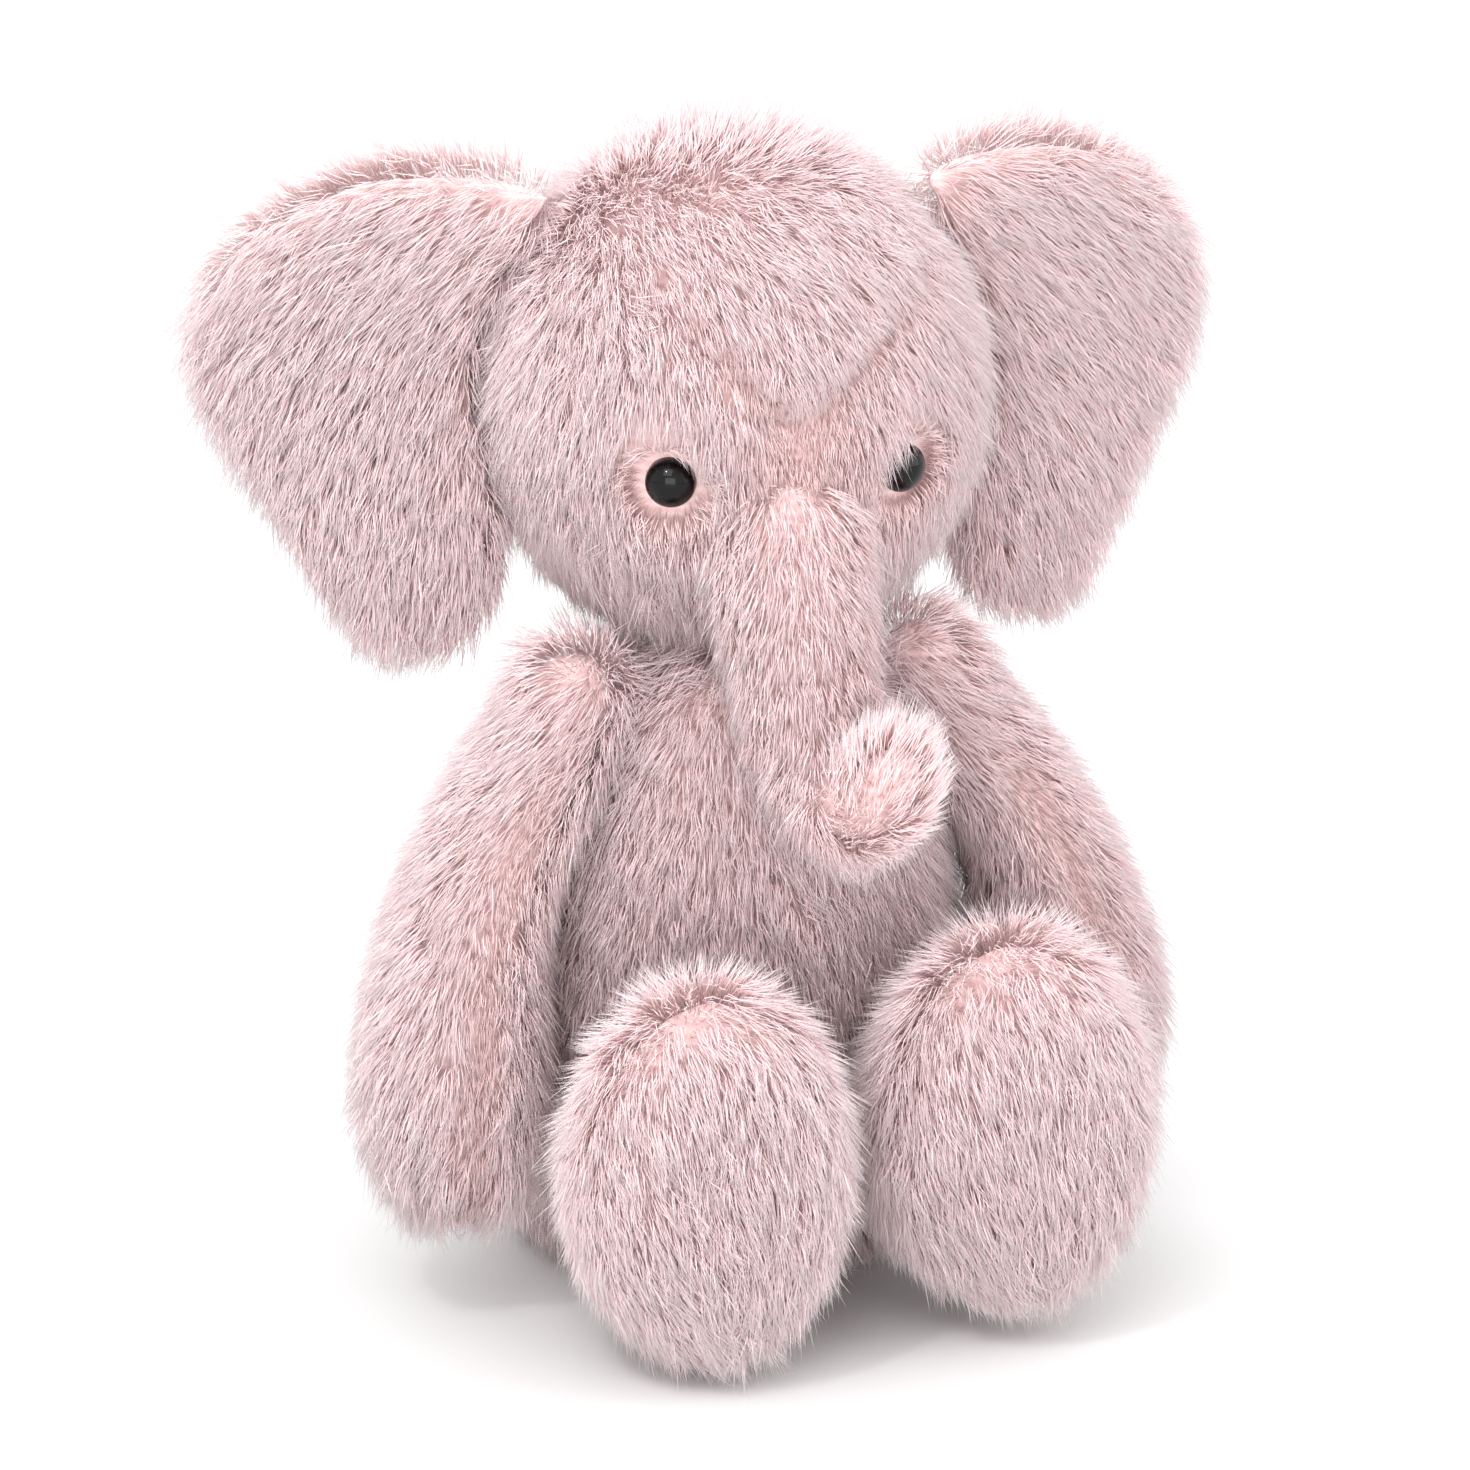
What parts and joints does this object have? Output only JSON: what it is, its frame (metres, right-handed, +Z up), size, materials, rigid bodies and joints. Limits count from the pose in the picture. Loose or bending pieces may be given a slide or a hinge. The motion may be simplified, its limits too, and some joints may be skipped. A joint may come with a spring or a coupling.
{
  "type": "stuffed toy elephant",
  "caption": "Seated long-pile plush elephant with a round head, cupped ears, a trunk curled up at its tip, floppy sewn limbs and black bead eyes.",
  "frame": {"origin": "on the floor, under the middle of the body, on the flat seat", "axes": "+Z up, -Y the way the toy faces, +X the toy's own left side"},
  "size_m": [0.2518, 0.2, 0.278],
  "materials": {
    "pile_fabric": "long silky polyester pile on a knitted back",
    "fibre_filling": "loose white polyester fibre",
    "eye_plastic": "polished black",
    "washer_plastic": "moulded",
    "bag_cloth": "plain woven cotton",
    "label_satin": "smooth satin ribbon"
  },
  "bodies": {
    "torso": {"body_front": "pile_fabric", "body_back_left": "pile_fabric", "body_back_right": "pile_fabric", "body_filling": "fibre_filling", "pellet_bag": "bag_cloth", "care_label": "label_satin"},
    "neck": {"neck_filling": "fibre_filling"},
    "head": {"head_gusset": "pile_fabric", "head_side_left": "pile_fabric", "head_side_right": "pile_fabric", "head_filling": "fibre_filling", "eye_left": "eye_plastic", "eye_right": "eye_plastic", "eye_washer_left": "washer_plastic", "eye_washer_right": "washer_plastic"},
    "trunk": {"trunk_front": "pile_fabric", "trunk_back": "pile_fabric", "trunk_filling": "fibre_filling"},
    "ear_left": {"ear_left_front": "pile_fabric", "ear_left_back": "pile_fabric", "ear_left_filling": "fibre_filling"},
    "ear_right": {"ear_right_front": "pile_fabric", "ear_right_back": "pile_fabric", "ear_right_filling": "fibre_filling"},
    "arm_left": {"arm_left_outer": "pile_fabric", "arm_left_inner": "pile_fabric", "arm_left_filling": "fibre_filling"},
    "arm_right": {"arm_right_outer": "pile_fabric", "arm_right_inner": "pile_fabric", "arm_right_filling": "fibre_filling"},
    "leg_left": {"leg_left_outer": "pile_fabric", "leg_left_inner": "pile_fabric", "leg_left_filling": "fibre_filling"},
    "leg_right": {"leg_right_outer": "pile_fabric", "leg_right_inner": "pile_fabric", "leg_right_filling": "fibre_filling"},
    "tail": {"tail": "pile_fabric"}
  },
  "joints": [
    {"name": "neck_turn", "type": "hinge", "parent": "torso", "child": "neck", "pos_m": [0, -0.008, 0.16], "axis": [0, 0, 1], "range_deg": [-18, 18]},
    {"name": "head_nod", "type": "hinge", "parent": "neck", "child": "head", "pos_m": [0, -0.008, 0.16], "axis": [0.9962, -0.0872, 0], "range_deg": [-18, 7]},
    {"name": "trunk_lift", "type": "hinge", "parent": "head", "child": "trunk", "pos_m": [-0.00351, -0.04817, 0.19363], "axis": [-0.9962, 0.0872, 0], "range_deg": [-4, 55]},
    {"name": "ear_left_flap", "type": "hinge", "parent": "head", "child": "ear_left", "pos_m": [0.06077, -0.01332, 0.219], "axis": [0, 0, -1], "range_deg": [-12, 25]},
    {"name": "ear_right_flap", "type": "hinge", "parent": "head", "child": "ear_right", "pos_m": [-0.06077, -0.00268, 0.219], "axis": [0, 0, 1], "range_deg": [-12, 25]},
    {"name": "arm_left_lift", "type": "hinge", "parent": "torso", "child": "arm_left", "pos_m": [0.045, -0.019, 0.14628], "axis": [-0.9848, -0.1736, 0], "range_deg": [-3, 74]},
    {"name": "arm_right_lift", "type": "hinge", "parent": "torso", "child": "arm_right", "pos_m": [-0.045, -0.019, 0.14628], "axis": [-0.9848, 0.1736, 0], "range_deg": [-3, 74]},
    {"name": "leg_left_lift", "type": "hinge", "parent": "torso", "child": "leg_left", "pos_m": [0.027, -0.03696, 0.03], "axis": [-1, 0, 0], "range_deg": [-12, 8]},
    {"name": "leg_right_lift", "type": "hinge", "parent": "torso", "child": "leg_right", "pos_m": [-0.027, -0.03696, 0.03], "axis": [-1, 0, 0], "range_deg": [-12, 12]},
    {"name": "tail_wag", "type": "hinge", "parent": "torso", "child": "tail", "pos_m": [0, 0.05264, 0.05883], "axis": [0, 0, 1], "range_deg": [-30, 30]}
  ]
}
